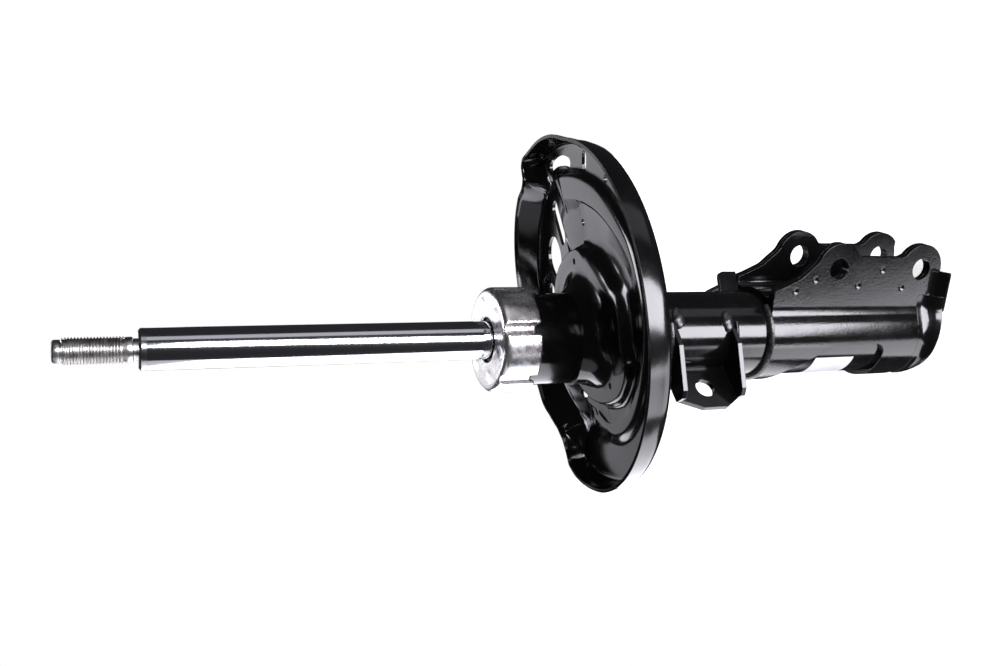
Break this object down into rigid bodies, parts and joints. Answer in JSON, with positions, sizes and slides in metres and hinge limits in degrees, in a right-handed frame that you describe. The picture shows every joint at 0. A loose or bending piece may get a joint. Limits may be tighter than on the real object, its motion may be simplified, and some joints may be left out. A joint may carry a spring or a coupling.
{
  "type": "suspension strut",
  "caption": "Twin-tube suspension strut with a stamped off-centre spring seat, a two-eared knuckle bracket, a stabiliser link bracket and a chromed piston rod with a threaded stud.",
  "frame": {"origin": "centre of the upper knuckle bolt bore, midway between the bracket's ears", "axes": "+Z along the rod towards the stud, +X from the tube towards the free edges of the ears, +Y across the ears, away from the stabiliser bracket"},
  "size_m": [0.2116, 0.2146, 0.5411],
  "materials": {
    "black_paint": "gloss e-coat",
    "zinc": "bright zinc plate",
    "chromed_rod": "ground and chromed",
    "drawn_steel": "bare drawn steel",
    "sintered": "sintered, oiled",
    "rubber": "matt",
    "bronze_band": "bronze with a dark lining"
  },
  "bodies": {
    "housing": {"outer_tube": "black_paint", "base_cap": "black_paint", "bump_cap": "zinc", "spring_seat": "black_paint", "seat_collar": "black_paint", "knuckle_bracket": "black_paint", "bracket_reinforcement": "black_paint", "stabiliser_bracket": "black_paint", "hose_bracket": "black_paint", "weld_beads": "black_paint", "pressure_tube": "drawn_steel", "rod_guide": "sintered", "guide_bush": "bronze_band", "rod_seal": "rubber", "seal_spring": "drawn_steel", "seal_retainer": "drawn_steel", "base_valve": "sintered", "base_shims": "drawn_steel", "intake_disc": "drawn_steel", "base_valve_pin": "drawn_steel"},
    "piston_guide": {"piston_band": "bronze_band"},
    "rod": {"piston_rod": "chromed_rod", "piston": "sintered", "compression_shims": "drawn_steel", "rebound_shims": "drawn_steel", "piston_nut": "drawn_steel", "rebound_stop": "drawn_steel", "rebound_bumper": "rubber"}
  },
  "joints": [
    {"name": "rod_slide", "type": "slide", "parent": "housing", "child": "piston_guide", "axis": [0, 0, -1], "range_m": [0, 0.15], "stiffness_N_per_m": 400, "springref_m": -0.3},
    {"name": "rod_spin", "type": "hinge", "parent": "piston_guide", "child": "rod", "pos_m": [-0.0475, 0, 0.127], "axis": [0, 0, 1], "continuous": true}
  ]
}
